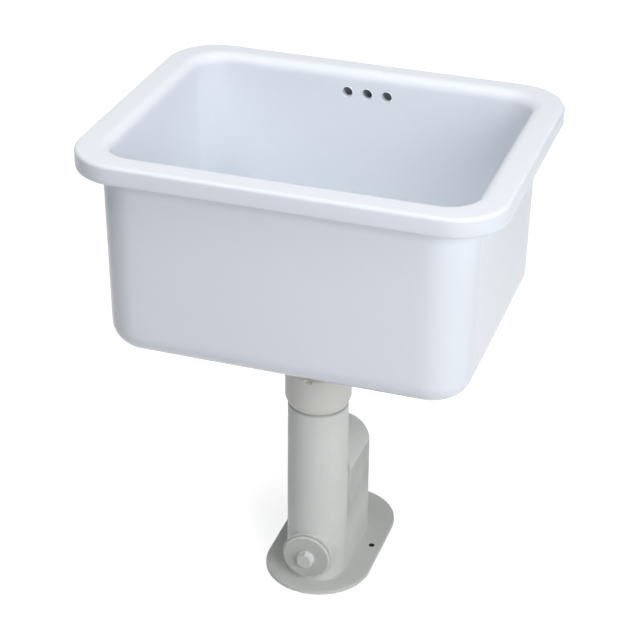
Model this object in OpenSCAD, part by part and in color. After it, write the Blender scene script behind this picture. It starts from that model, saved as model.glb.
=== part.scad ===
// Mop service sink: a glazed china basin standing on a cast-iron floor trap.
// Millimetres, +Z up. Origin: on the floor, under the centre of the rim. -Y is the front.

/* [Rim] */
// Width of the rim, left to right
rim_w = 510; // [500:1:520]
// Depth of the rim, front to back
rim_d = 396; // [390:1:402]
// Height of the rim's top above the floor
rim_z = 633; // [625:1:645]
// Height of the rim's outer lip
lip_h = 25; // [22:1:28]
// Outer corner radius of the rim, seen from above
rim_corner_r = 65; // [60:1:70]
// Rounding of the rim's top outer edge
rim_edge_r = 5; // [3:0.5:7]
// Rounding of the lip's lower edge
lip_edge_r = 3; // [2:0.5:4]

/* [Basin outside] */
// Height of the basin, from its underside to the rim's top
basin_h = 255; // [250:1:260]
// How far the lip overhangs the left and right walls
side_overhang = 30.5; // [28:0.5:32]
// How far the lip overhangs the front wall
front_overhang = 18.5; // [17:0.5:22]
// How far the lip overhangs the back wall
rear_overhang = 15.5; // [14:0.5:17]
// Radius of the basin's upright corners
body_corner_r = 52; // [48:1:56]
// How far the walls draw in from lip to underside
body_taper = 2.5; // [1:0.5:4]
// Rounding from the walls to the underside
body_bottom_r = 31; // [26:1:34]
// Fillet between the lip and the walls
lip_fillet_r = 6; // [4:0.5:8]

/* [Bowl] */
// Distance from the rim's edge to the bowl's side walls
bowl_side_inset = 39.5; // [38:0.5:42]
// Distance from the rim's edge to the bowl's front wall
bowl_front_inset = 39.5; // [37:0.5:42]
// Distance from the rim's edge to the bowl's back wall
bowl_rear_inset = 35; // [34:0.5:37]
// Radius of the bowl's upright corners
bowl_corner_r = 36; // [32:1:40]
// Rounding of the rim's inner edge
bowl_edge_r = 14; // [10:1:16]
// Fillet between the bowl's walls and floor
bowl_floor_r = 28; // [22:1:30]
// How far the bowl's walls draw in towards the floor
bowl_taper = 5; // [3:0.5:6]
// Thickness of the floor beside the walls
floor_t = 18; // [16:0.5:20]
// Fall of the floor towards the drain
floor_fall = 5; // [3:0.5:6]

/* [Overflow] */
// Diameter of the overflow holes
overflow_d = 13; // [11:0.5:14]
// Distance between overflow holes
overflow_pitch = 25.6; // [24:0.2:27]
// Number of overflow holes
overflow_count = 3; // [3]
// Distance from the rim's top down to the overflow holes
overflow_drop = 29; // [27:0.5:31]
// Outer width of the overflow duct on the back and the underside
duct_w = 88; // [84:1:92]
// Wall thickness of the overflow duct
duct_wall = 7; // [6:0.5:8]

/* [Wall hangers] */
// Distance between the two hanger pads
hanger_pitch = 316; // [300:2:320]
// Width of a hanger pad
hanger_w = 56; // [52:1:60]
// Height of a hanger pad below the lip
hanger_h = 60; // [55:1:70]
// Width of the slot in a hanger pad
hanger_slot_w = 36; // [32:1:38]
// Thickness of the slot in a hanger pad
hanger_slot_t = 7; // [6:0.5:8]

/* [Waste] */
// Distance of the drain and the trap's leg in front of the rim's centre
drain_y = -17.4; // [-20:0.2:-15]
// Radius of the waste's flange inside the bowl
waste_flange_r = 45; // [44:0.5:46]
// Outer radius of the waste's threaded tail
waste_tail_r = 30; // [29:0.5:31]
// Inner radius of the waste's throat
waste_bore_r = 25.5; // [24:0.5:26]
// Radius of the basin's drain hole
drain_hole_r = 33; // [32.5:0.5:34]
// Thickness of the strainer grate
grate_t = 3; // [2.5:0.5:3.5]
// Radius of the strainer grate's holes
grate_hole_r = 3.2; // [2.8:0.1:3.4]
// Width of the locknut across its flats
locknut_flats = 78; // [76:1:80]

/* [Union nut] */
// Outer radius of the round union nut on top of the leg
nut_r = 42; // [41:0.5:43]
// Height of the union nut
nut_h = 50; // [48:1:52]
// Number of spanner notches in the union nut's top edge
nut_notches = 4; // [2:2:6]

/* [Trap] */
// Outer radius of the trap's leg
leg_r = 38.8; // [38:0.2:39]
// Height of the leg's shoulder, where the union nut stops
leg_z = 262; // [258:1:266]
// Radius of the trap's waterway
way_r = 30; // [29:0.5:30.5]
// Distance of the drop pipe behind the leg
drop_y = 95.7; // [94:0.1:98]
// Outer radius of the drop pipe and the crown
crown_r = 39.6; // [39:0.2:40]
// Height of the crown's centre
crown_z = 140; // [136:1:144]
// Height of the weir inside the crown
weir_z = 116; // [112:1:118]

/* [Floor flange] */
// Thickness of the floor flange
flange_t = 6; // [5:0.5:7]
// End radius of the floor flange
flange_r = 70.3; // [69:0.1:72]
// Distance between the centres of the flange's round ends
flange_len = 105; // [103:1:108]
// Distance of the flange's centre behind the leg
flange_y = 62.5; // [61:0.5:64]
// Distance between the two screw holes
screw_pitch = 114; // [112:1:118]
// Diameter of the screw holes
screw_d = 7; // [6:0.5:8]

/* [Clean-out] */
// Height of the clean-out's axis
cleanout_z = 46; // [45:0.5:48]
// Radius of the boss around the clean-out
boss_r = 34; // [33:0.5:35]
// Radius of the clean-out's opening
cleanout_r = 20; // [19:0.5:21]
// Radius of the plug's round face
plug_r = 31.3; // [30.5:0.1:32]
// Thickness of the plug's round face
plug_t = 3.5; // [3:0.5:4]
// Width of the plug's hexagon across its flats
hex_flats = 19; // [18:1:21]
// How far the hexagon stands out of the plug's face
hex_h = 10; // [8:1:12]

/* [Hidden] */
$fn = 96;
over = 1; // how far a cutter or a joined piece runs past a face
running = 0.05; // radial clearance of a screwed fit

// Basin heights
lip_z = rim_z - lip_h;
base_z = rim_z - basin_h;
floor_z = base_z + floor_t;
drain_z = floor_z - floor_fall;
dish_r = 135; // where the floor starts to fall
boss_z = base_z - 14;
drain_boss_r = waste_flange_r + 4;
overflow_z = rim_z - overflow_drop;
half_w = rim_w / 2;
half_d = rim_d / 2;
bowl_rear_y = half_d - bowl_rear_inset;

// Overflow duct: its cavity lies behind the bowl's back wall and under the floor
duct_cavity_y0 = bowl_rear_y + 8;
duct_cavity_y1 = duct_cavity_y0 + 11;
duct_y1 = duct_cavity_y1 + duct_wall;
duct_cavity_z0 = boss_z + 5;
duct_cavity_z1 = base_z;
duct_top_z = overflow_z + overflow_d / 2 + 4;
duct_turn_r = 26;
duct_edge_r = 8;

// Wall hangers: the pads end just short of the rim's back edge
hanger_z = lip_z - hanger_h;
hanger_y = half_d - 0.5;
hanger_depth = 26;
hanger_cover = 6; // material between the slot and the wall
hanger_slot_h = 46;

// Waste, from the bowl down
seat_z = drain_z - 7;
seal_t = 2;
waste_flange_z = seat_z + seal_t;
waste_flange_t = 5;
window_w = 18;
grate_r = waste_flange_r - 4;
grate_z = waste_flange_z + waste_flange_t - grate_t;
gasket_t = 5;
slip_washer_t = 1.5;
locknut_h = 12;
gasket_z = boss_z - gasket_t;
slip_washer_z = gasket_z - slip_washer_t;
locknut_z = slip_washer_z - locknut_h;
socket_top_z = locknut_z - 5.5;
socket_h = 14;
socket_z = socket_top_z - socket_h;
socket_floor_z = socket_z + 1.5;
socket_washer_t = 2;
waste_end_z = socket_floor_z + socket_washer_t;
socket_r = waste_tail_r + 6;

// Union between tailpiece and leg
neck_r = 34;
neck_z = leg_z + 36;
union_washer_t = 3;
tail_flange_r = neck_r - 0.6;
tail_flange_t = 4;
tail_flange_z = neck_z + union_washer_t;
thrust_t = 1.5;
thrust_z = tail_flange_z + tail_flange_t;
tail_r = 29;
tail_bore_r = 25;
union_thread_h = 12;
nut_z = leg_z + 0.6;
nut_top_z = nut_z + nut_h;
nut_lip_z = thrust_z + thrust_t;

// Trap
drop_abs_y = drain_y + drop_y;
flank_lean = asin((crown_r - leg_r) / drop_y);
foot_fillet_r = 4;
boss_face_y = drain_y - leg_r - 0.4; // faced just clear of the leg
cleanout_gasket_t = 1.3;
plug_face_y = boss_face_y - cleanout_gasket_t;
weir_t = 8;
riser_y0 = drain_y + way_r + 8;
weir_y = drop_abs_y - way_r - weir_t;
over_r = crown_z + 2 - weir_z;
seal_ring_r = way_r + 12;
seal_ring_t = 3;

china = [0.93, 0.95, 0.97];
iron_paint = [0.74, 0.74, 0.70];
nut_paint = [0.76, 0.75, 0.70];
steel = [0.75, 0.76, 0.77];
brass = [0.78, 0.66, 0.38];
black_rubber = [0.13, 0.13, 0.13];

// ---- Profile helpers, drawn in a plane with x outwards and y upwards ----

// What a round of radius r cuts off a square corner whose material is at lower left
module corner_waste(r) {
    difference() {
        translate([-r, -r]) square(r + over);
        translate([-r, -r]) circle(r = r);
    }
}

// A fillet of radius r in a corner with a wall on the left and a floor below
module corner_fill(r) {
    difference() {
        translate([-over, -over]) square(r + over);
        translate([r, r]) circle(r = r);
    }
}

// The outer half of a drawn-in wall: r at height z1, less taper where the rounded foot begins
module wall_profile(r, z0, z1, taper, foot_r) {
    cx = r - taper - foot_r;
    cz = z0 + foot_r;
    polygon([[0, z0], [cx, z0], [cx, cz], [cx + foot_r, cz], [r, z1], [0, z1]]);
    intersection() {
        translate([cx, cz]) circle(r = foot_r);
        translate([cx, z0]) square(foot_r);
    }
}

// ---- Solid helpers ----

// Carries a profile round a rectangle of corner centres at +-hx, +-hy; the core fills z0 to z1
module carry_round(hx, hy, z0, z1) {
    for (turn = [0:3]) {
        px = (turn % 2 == 0) ? hx : hy;
        py = (turn % 2 == 0) ? hy : hx;
        rotate(90 * turn) {
            translate([px, py, 0]) rotate_extrude(angle = 90) children();
            translate([px, py, 0]) rotate([90, 0, 0]) linear_extrude(2 * py) children();
        }
    }
    translate([-hx, -hy, z0]) cube([2 * hx, 2 * hy, z1 - z0]);
}

module ring(r1, r0, z, h) {
    translate([0, drain_y, z]) {
        difference() {
            cylinder(r = r1, h = h);
            translate([0, 0, -over]) cylinder(r = r0, h = h + 2 * over);
        }
    }
}

// An upright round bar on the drain's axis
module drain_bar(r, z0, z1) {
    translate([0, drain_y, z0]) cylinder(r = r, h = z1 - z0);
}

// A level bar on the clean-out's axis, from y0 back to y1
module cleanout_bar(r, y0, y1) {
    translate([0, y0, cleanout_z]) rotate([-90, 0, 0]) cylinder(r = r, h = y1 - y0);
}

// A shape seen from the side, in y and z, made w wide about the middle plane
module side_slab(w) {
    translate([-w / 2, 0, 0]) rotate([90, 0, 90]) linear_extrude(w) children();
}

// ---- Basin ----

module rim_solid() {
    carry_round(half_w - rim_corner_r, half_d - rim_corner_r, lip_z, rim_z) {
        difference() {
            translate([0, lip_z]) square([rim_corner_r, lip_h]);
            translate([rim_corner_r, rim_z]) corner_waste(rim_edge_r);
            translate([rim_corner_r, lip_z]) rotate(-90) corner_waste(lip_edge_r);
        }
    }
}

module body_solid() {
    hx = half_w - side_overhang - body_corner_r;
    y0 = -half_d + front_overhang + body_corner_r;
    y1 = half_d - rear_overhang - body_corner_r;
    top_z = lip_z + 8;
    translate([0, (y0 + y1) / 2, 0]) {
        carry_round(hx, (y1 - y0) / 2, base_z, top_z) {
            wall_profile(body_corner_r, base_z, top_z, body_taper, body_bottom_r);
            translate([body_corner_r, lip_z]) mirror([0, 1]) corner_fill(lip_fillet_r);
        }
    }
}

module bowl_space() {
    hx = half_w - bowl_side_inset - bowl_corner_r;
    y0 = -half_d + bowl_front_inset + bowl_corner_r;
    y1 = bowl_rear_y - bowl_corner_r;
    top_z = rim_z + over;
    translate([0, (y0 + y1) / 2, 0]) {
        carry_round(hx, (y1 - y0) / 2, floor_z, top_z) {
            wall_profile(bowl_corner_r, floor_z, rim_z, bowl_taper, bowl_floor_r);
            translate([0, rim_z - bowl_edge_r]) difference() {
                square([bowl_corner_r + bowl_edge_r, bowl_edge_r + over]);
                translate([bowl_corner_r + bowl_edge_r, 0]) circle(r = bowl_edge_r);
            }
        }
    }
    translate([0, drain_y, drain_z]) {
        cylinder(r1 = waste_flange_r + 2, r2 = dish_r, h = floor_fall + 0.01);
    }
}

// The duct seen from the side: down the back and forward under the floor
module duct_side(rear_y, front_y, z0, z1, inner_y, inner_z, turn_r) {
    difference() {
        translate([front_y, z0]) square([rear_y - front_y, z1 - z0]);
        translate([rear_y, z0]) rotate(-90) corner_waste(turn_r);
        translate([front_y - over, inner_z]) square([inner_y - front_y + over, z1 - inner_z + over]);
    }
}

// The duct's outside, sunk a few millimetres into the walls that it stands on
module duct_solid() {
    sunk = 3;
    rounded_h = rim_z - boss_z;
    intersection() {
        side_slab(duct_w) {
            duct_side(
                duct_y1, drain_y, boss_z, lip_z + sunk,
                bowl_rear_y + sunk, base_z + 10, duct_turn_r
            );
        }
        // Rounds the two upright edges
        translate([0, 0, boss_z - over]) linear_extrude(rounded_h) {
            difference() {
                translate([-duct_w / 2, drain_y]) square([duct_w, duct_y1 - drain_y]);
                translate([duct_w / 2, duct_y1]) corner_waste(duct_edge_r);
                translate([-duct_w / 2, duct_y1]) mirror([1, 0]) corner_waste(duct_edge_r);
            }
        }
        // Rounds the two lower edges
        translate([0, half_d, 0]) rotate([90, 0, 0]) linear_extrude(rim_d) {
            difference() {
                translate([-duct_w / 2, boss_z]) square([duct_w, rounded_h]);
                translate([duct_w / 2, boss_z]) rotate(-90) corner_waste(duct_edge_r);
                translate([-duct_w / 2, boss_z]) rotate(180) corner_waste(duct_edge_r);
            }
        }
    }
}

module duct_space() {
    side_slab(duct_w - 2 * duct_wall) {
        duct_side(
            duct_cavity_y1, drain_y, duct_cavity_z0, duct_top_z,
            duct_cavity_y0, duct_cavity_z1, duct_turn_r - duct_wall
        );
    }
}

module overflow_holes() {
    y0 = bowl_rear_y - 2 * bowl_taper;
    for (i = [0:overflow_count - 1]) {
        x = (i - (overflow_count - 1) / 2) * overflow_pitch;
        translate([x, y0, overflow_z]) rotate([-90, 0, 0]) {
            cylinder(d = overflow_d, h = duct_cavity_y0 + over - y0);
        }
    }
}

// A pad under the lip's back edge, with a slot that a wall bracket's tongue enters from below
module hanger_pad(side) {
    edge_r = 8;
    y0 = hanger_y - hanger_depth;
    top_z = lip_z + over;
    translate([side * hanger_pitch / 2, 0, 0]) {
        intersection() {
            translate([0, hanger_y, hanger_z]) linear_extrude(hanger_h + over) {
                difference() {
                    translate([-hanger_w / 2, -hanger_depth]) square([hanger_w, hanger_depth]);
                    translate([hanger_w / 2, 0]) corner_waste(edge_r);
                    translate([-hanger_w / 2, 0]) mirror([1, 0]) corner_waste(edge_r);
                }
            }
            side_slab(hanger_w + 2 * over) {
                // The pad's foot slopes back into the wall
                polygon([
                    [y0, hanger_z], [hanger_y - 14, hanger_z], [hanger_y, hanger_z + 8],
                    [hanger_y, top_z], [y0, top_z]
                ]);
            }
        }
    }
}

module hanger_slot(side) {
    x = side * hanger_pitch / 2 - hanger_slot_w / 2;
    translate([x, hanger_y - hanger_cover - hanger_slot_t, hanger_z - over]) {
        cube([hanger_slot_w, hanger_slot_t, hanger_slot_h + over]);
    }
}

module basin() {
    color(china) difference() {
        union() {
            rim_solid();
            body_solid();
            duct_solid();
            drain_bar(drain_boss_r, boss_z, base_z + 6);
            for (side = [-1, 1]) hanger_pad(side);
        }
        bowl_space();
        duct_space();
        overflow_holes();
        for (side = [-1, 1]) hanger_slot(side);
        drain_bar(waste_flange_r + 0.6, seat_z, floor_z);
        drain_bar(drain_hole_r, boss_z - over, seat_z + over);
    }
}

// ---- Waste ----

// Flanged outlet: a dished seat for the grate, a threaded tail, windows for the overflow's water
module waste_body() {
    throat_z = waste_flange_z - 7;
    color(steel) translate([0, drain_y, 0]) difference() {
        rotate_extrude() {
            difference() {
                union() {
                    translate([waste_bore_r, waste_end_z]) {
                        square([waste_tail_r - waste_bore_r, waste_flange_z + 1 - waste_end_z]);
                    }
                    translate([waste_bore_r, waste_flange_z]) {
                        square([waste_flange_r - waste_bore_r, waste_flange_t]);
                    }
                }
                translate([waste_flange_r, waste_flange_z + waste_flange_t]) corner_waste(2);
                translate([0, grate_z]) square([grate_r + 0.3, grate_t + over]);
                // The throat opens out below the grate
                polygon([
                    [0, throat_z], [waste_bore_r, throat_z], [waste_tail_r - 2, waste_flange_z],
                    [grate_r - 7, grate_z + 0.01], [0, grate_z + 0.01]
                ]);
            }
        }
        // Windows for the overflow's water; one of them faces the duct
        for (turn = [0:3]) {
            rotate(90 * turn) translate([waste_bore_r - 4, -window_w / 2, duct_cavity_z0]) {
                cube([12, window_w, duct_cavity_z1 - duct_cavity_z0 - 2]);
            }
        }
    }
}

module waste_seal() {
    color(black_rubber) ring(waste_flange_r, drain_hole_r + 1, seat_z, seal_t);
}

// Perforated plate that lies loose in the waste's flange
module strainer_grate() {
    rings = [[0, 1], [10.5, 6], [20.5, 12], [30.5, 18]];
    color(steel) translate([0, drain_y, grate_z]) difference() {
        rotate_extrude() difference() {
            square([grate_r, grate_t]);
            translate([grate_r, grate_t]) corner_waste(0.8);
        }
        for (row = rings, i = [0:row[1] - 1]) {
            rotate(360 * i / row[1]) translate([row[0], 0, -over]) {
                cylinder(r = grate_hole_r, h = grate_t + 2 * over);
            }
        }
    }
}

module drain_gasket() {
    color(black_rubber) ring(waste_flange_r - 1, waste_tail_r + 0.3, gasket_z, gasket_t);
}

module slip_washer() {
    color(brass) ring(waste_flange_r - 1, waste_tail_r + 0.3, slip_washer_z, slip_washer_t);
}

module drain_locknut() {
    corner_r = locknut_flats / 2 / cos(30);
    color(brass) translate([0, drain_y, locknut_z]) difference() {
        intersection() {
            cylinder(r = corner_r, h = locknut_h, $fn = 6);
            // Turned chamfers take the corners off both faces
            rotate_extrude() polygon([
                [0, 0], [locknut_flats / 2 - 0.5, 0], [corner_r, 3.2],
                [corner_r, locknut_h - 3.2], [locknut_flats / 2 - 0.5, locknut_h], [0, locknut_h]
            ]);
        }
        translate([0, 0, -over]) cylinder(r = waste_tail_r + running, h = locknut_h + 2 * over);
    }
}

// ---- Tailpiece and union ----

// Socket screwed on the waste, a plain tube, and the flange that the union nut holds down
module tailpiece() {
    spigot_r = 28.8;
    spigot_h = 14;
    color(brass) translate([0, drain_y, 0]) rotate_extrude() difference() {
        union() {
            translate([tail_bore_r, tail_flange_z - spigot_h]) {
                square([spigot_r - tail_bore_r, spigot_h + 1]);
            }
            translate([tail_bore_r, tail_flange_z]) {
                square([tail_flange_r - tail_bore_r, tail_flange_t]);
            }
            translate([tail_bore_r, tail_flange_z]) {
                square([tail_r - tail_bore_r, socket_z + 1 - tail_flange_z]);
            }
            translate([tail_bore_r, socket_z]) square([socket_r - tail_bore_r, socket_h]);
        }
        translate([socket_r, socket_top_z]) corner_waste(1.5);
        translate([socket_r, socket_z]) rotate(-90) corner_waste(1.5);
        translate([0, socket_floor_z]) square([waste_tail_r + running, socket_h]);
    }
}

module socket_washer() {
    color(black_rubber) ring(waste_tail_r - 0.2, tail_bore_r + 0.5, socket_floor_z, socket_washer_t);
}

module thrust_ring() {
    color(brass) ring(tail_flange_r, tail_r + 0.1, thrust_z, thrust_t);
}

module union_washer() {
    color(black_rubber) ring(tail_flange_r, way_r, neck_z, union_washer_t);
}

// Round nut: a plain skirt, a short thread on the neck's end, an inward lip, spanner notches
module union_nut() {
    notch_w = 10;
    notch_h = 4;
    skirt_r = neck_r + 0.6;
    thread_z = neck_z - union_thread_h;
    color(nut_paint) translate([0, drain_y, 0]) difference() {
        rotate_extrude() difference() {
            polygon([
                [skirt_r, nut_z], [leg_r, nut_z], [leg_r, nut_z + 1.5], [nut_r, nut_z + 9],
                [nut_r, nut_top_z], [tail_r + 0.1, nut_top_z],
                [tail_r + 0.1, nut_lip_z], [neck_r + running, nut_lip_z],
                [neck_r + running, thread_z], [skirt_r, thread_z]
            ]);
            translate([nut_r, nut_top_z]) corner_waste(2.5);
        }
        for (i = [0:nut_notches - 1]) {
            rotate(-90 + 360 * i / nut_notches) {
                translate([nut_r - 4, -notch_w / 2, nut_top_z - notch_h]) cube([8, notch_w, notch_h + over]);
            }
        }
    }
}

// ---- Trap ----

// Outline of the casting above the flange, seen from above: leg, flat flanks, drop pipe
module trap_outline() {
    y0 = -leg_r * sin(flank_lean);
    y1 = drop_y - crown_r * sin(flank_lean);
    x0 = leg_r * cos(flank_lean);
    x1 = crown_r * cos(flank_lean);
    circle(r = leg_r);
    translate([0, drop_y]) circle(r = crown_r);
    polygon([[x0, y0], [x1, y1], [-x1, y1], [-x0, y0]]);
}

// Fillet where the casting meets the flange, carried round the outline
module foot_fillet() {
    for (end = [[0, leg_r, 180], [drop_y, crown_r, 0]]) {
        translate([0, end[0], flange_t]) rotate(end[2]) {
            rotate_extrude(angle = 180) translate([end[1], 0]) corner_fill(foot_fillet_r);
        }
    }
    for (side = [0, 1]) {
        mirror([side, 0, 0]) translate([leg_r, 0, flange_t]) rotate(-flank_lean) {
            rotate([90, 0, 0]) mirror([0, 0, 1]) linear_extrude(drop_y) corner_fill(foot_fillet_r);
        }
    }
}

module floor_flange() {
    edge_r = 2;
    half = flange_len / 2;
    for (end = [-1, 1]) {
        translate([0, end * half, 0]) rotate_extrude() difference() {
            square([flange_r, flange_t]);
            translate([flange_r, flange_t]) corner_waste(edge_r);
        }
    }
    translate([0, half, 0]) rotate([90, 0, 0]) linear_extrude(flange_len) difference() {
        translate([-flange_r, 0]) square([2 * flange_r, flange_t]);
        translate([flange_r, flange_t]) corner_waste(edge_r);
        translate([-flange_r, flange_t]) mirror([1, 0]) corner_waste(edge_r);
    }
}

module trap_solid() {
    translate([0, drain_y, 0]) {
        linear_extrude(crown_z) trap_outline();
        cylinder(r = leg_r, h = leg_z);
        cylinder(r = neck_r, h = neck_z);
        // The crown: a round ridge from the leg to a domed end over the drop pipe
        translate([0, 0, crown_z]) rotate([-90, 0, 0]) cylinder(r1 = leg_r, r2 = crown_r, h = drop_y);
        translate([0, drop_y, crown_z]) sphere(r = crown_r);
        foot_fillet();
        translate([0, flange_y, 0]) floor_flange();
    }
    // Clean-out boss, its front edge rounded
    translate([0, boss_face_y, cleanout_z]) rotate([-90, 0, 0]) rotate_extrude() difference() {
        square([boss_r, drain_y - boss_face_y]);
        translate([boss_r, 0]) rotate(-90) corner_waste(3);
    }
}

// The waterway: down the leg, through at floor level, up a riser, over the weir, down to the outlet
module trap_space() {
    translate([0, drain_y, 20]) cylinder(r = way_r, h = neck_z);
    cleanout_bar(cleanout_r, boss_face_y - over, weir_y);
    translate([-way_r + 4, riser_y0, 20]) cube([2 * way_r - 8, weir_y - riser_y0, crown_z - 20]);
    translate([0, riser_y0, crown_z + 2]) rotate([-90, 0, 0]) cylinder(r = over_r, h = drop_abs_y - riser_y0);
    translate([0, drop_abs_y, -over]) cylinder(r = way_r, h = crown_z + 2 + over);
    translate([0, drop_abs_y, crown_z + 2]) sphere(r = way_r);
}

module trap_body() {
    color(iron_paint) difference() {
        trap_solid();
        trap_space();
        translate([0, drop_abs_y, -over]) cylinder(r = seal_ring_r, h = seal_ring_t + over);
        for (side = [-1, 1]) {
            translate([side * screw_pitch / 2, drain_y + flange_y, -over]) {
                cylinder(d = screw_d, h = flange_t + 2 * over);
            }
        }
    }
}

module outlet_seal() {
    color(black_rubber) translate([0, drop_abs_y, 0]) difference() {
        cylinder(r = seal_ring_r, h = seal_ring_t);
        translate([0, 0, -over]) cylinder(r = way_r, h = seal_ring_t + 2 * over);
    }
}

module cleanout_gasket() {
    color(black_rubber) difference() {
        cleanout_bar(plug_r - 1.5, plug_face_y, boss_face_y);
        cleanout_bar(cleanout_r + 0.3, plug_face_y - over, boss_face_y + over);
    }
}

// Screwed plug: hollow threaded spigot, round face with a chamfered edge, hexagon
module cleanout_plug() {
    spigot_len = 13;
    color(iron_paint) translate([0, plug_face_y, cleanout_z]) rotate([-90, 0, 0]) {
        difference() {
            rotate_extrude() union() {
                polygon([
                    [0, -plug_t], [plug_r - 1.2, -plug_t], [plug_r, 1.2 - plug_t], [plug_r, 0], [0, 0]
                ]);
                square([cleanout_r - running, spigot_len + cleanout_gasket_t]);
            }
            translate([0, 0, 2]) cylinder(r = cleanout_r - 5, h = spigot_len + 2);
        }
        translate([0, 0, -plug_t - hex_h]) intersection() {
            rotate(30) cylinder(d = hex_flats / cos(30), h = hex_h + 1, $fn = 6);
            rotate_extrude() polygon([
                [0, 0], [hex_flats / 2 - 0.4, 0], [hex_flats / 2 / cos(30), 1.2],
                [hex_flats / 2 / cos(30), hex_h + 1], [0, hex_h + 1]
            ]);
        }
    }
}

basin();
waste_body();
waste_seal();
strainer_grate();
drain_gasket();
slip_washer();
drain_locknut();
tailpiece();
socket_washer();
thrust_ring();
union_nut();
union_washer();
trap_body();
outlet_seal();
cleanout_gasket();
cleanout_plug();
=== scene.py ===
import math

import bmesh
import bpy
from mathutils import Matrix, Vector, noise


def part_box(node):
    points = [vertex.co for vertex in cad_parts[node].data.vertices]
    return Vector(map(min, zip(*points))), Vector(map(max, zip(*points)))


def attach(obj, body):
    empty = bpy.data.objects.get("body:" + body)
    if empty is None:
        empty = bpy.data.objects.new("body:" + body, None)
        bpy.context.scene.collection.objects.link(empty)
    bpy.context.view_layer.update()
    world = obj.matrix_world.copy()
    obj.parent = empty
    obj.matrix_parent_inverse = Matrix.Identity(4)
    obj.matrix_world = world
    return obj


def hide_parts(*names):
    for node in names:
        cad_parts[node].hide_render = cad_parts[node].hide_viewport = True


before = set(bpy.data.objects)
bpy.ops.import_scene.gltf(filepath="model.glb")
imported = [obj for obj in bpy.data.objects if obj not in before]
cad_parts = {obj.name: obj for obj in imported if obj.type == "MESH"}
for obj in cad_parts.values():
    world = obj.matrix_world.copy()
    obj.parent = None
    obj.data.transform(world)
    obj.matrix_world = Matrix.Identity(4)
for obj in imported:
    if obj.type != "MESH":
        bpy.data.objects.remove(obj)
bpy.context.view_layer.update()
MM = 0.001

# Places that the frame gives, in millimetres
RIM_LOW, RIM_HIGH = (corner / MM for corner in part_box("basin"))
DRAIN_Y = sum(corner.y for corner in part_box("union_nut")) / 2 / MM
RIM_Z = RIM_HIGH.z
BOSS_Z = RIM_LOW.z


# ---- Shader nodes ----

def put(tree, value, socket):
    """Gives a socket a value of its own, or a link where the value is another node's output."""
    if isinstance(value, bpy.types.NodeSocket):
        tree.links.new(value, socket)
    else:
        socket.default_value = value


def put_all(tree, node, values):
    """Feeds a node's sockets by name; an underscore stands for a space."""
    for label, value in values.items():
        put(tree, value, node.inputs[label.replace("_", " ")])
    return node


def noise_node(tree, vector, scale, detail, roughness=0.5):
    node = tree.nodes.new("ShaderNodeTexNoise")
    put_all(tree, node, {"Vector": vector, "Scale": scale, "Detail": detail, "Roughness": roughness})
    return node.outputs["Fac"]


def map_node(tree, value, low, high, to_low=0.0, to_high=1.0):
    node = tree.nodes.new("ShaderNodeMapRange")
    put_all(tree, node, {"Value": value, "From Min": low, "From Max": high,
                         "To Min": to_low, "To Max": to_high})
    return node.outputs["Result"]


def mix_node(tree, factor, a, b):
    node = tree.nodes.new("ShaderNodeMix")
    node.data_type = "RGBA"
    put_all(tree, node, {"Factor": factor, "A": a, "B": b})
    return node.outputs["Result"]


def math_node(tree, operation, a, b):
    node = tree.nodes.new("ShaderNodeMath")
    node.operation = operation
    put(tree, a, node.inputs[0])
    put(tree, b, node.inputs[1])
    return node.outputs[0]


def is_seen(tree):
    """1 on rays from the camera, and on those that gloss or glass sends on."""
    path = tree.nodes.new("ShaderNodeLightPath")
    total = path.outputs["Is Camera Ray"]
    for kind in ("Is Glossy Ray", "Is Transmission Ray"):
        total = math_node(tree, "ADD", total, path.outputs[kind])
        total.node.use_clamp = True
    return total


# ---- Camera, floor and light ----

ROOM_LIGHT = (0.02, 0.022, 0.026, 1)
SHEET_COLOUR = (0.66, 0.66, 0.67, 1)
SHEET_GLOW = 0.76
SHEET_Z = -0.0006


def aim_camera():
    """Stands 2.3 m away, to the right of the front and above the rim, as the picture was taken."""
    azimuth, elevation, roll = (math.radians(a) for a in (18.144, 29.591, 0.625))
    target = Vector((-4.07, -1.99, 367.98)) * MM
    distance = 2.31767
    ahead = Vector((
        -math.sin(azimuth) * math.cos(elevation),
        math.cos(azimuth) * math.cos(elevation),
        -math.sin(elevation),
    ))
    level = Vector((math.cos(azimuth), math.sin(azimuth), 0))
    upright = level.cross(ahead)
    right = level * math.cos(roll) + upright * math.sin(roll)
    up = upright * math.cos(roll) - level * math.sin(roll)
    camera = bpy.data.objects.new("camera", bpy.data.cameras.new("camera"))
    camera.data.sensor_width = 36
    camera.data.lens = 105.217
    camera.data.clip_end = 20
    turn = Matrix((right, up, -ahead)).transposed().to_4x4()
    camera.matrix_world = Matrix.Translation(target - ahead * distance) @ turn
    bpy.context.scene.collection.objects.link(camera)
    bpy.context.scene.camera = camera


def light_room():
    """White to the eye, a soft bluish grey as light."""
    world = bpy.data.worlds.new("studio")
    world.use_nodes = True
    bpy.context.scene.world = world
    tree = world.node_tree
    back = tree.nodes["Background"]
    put(tree, mix_node(tree, is_seen(tree), ROOM_LIGHT, (1, 1, 1, 1)), back.inputs["Color"])
    put(tree, 1, back.inputs["Strength"])


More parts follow.
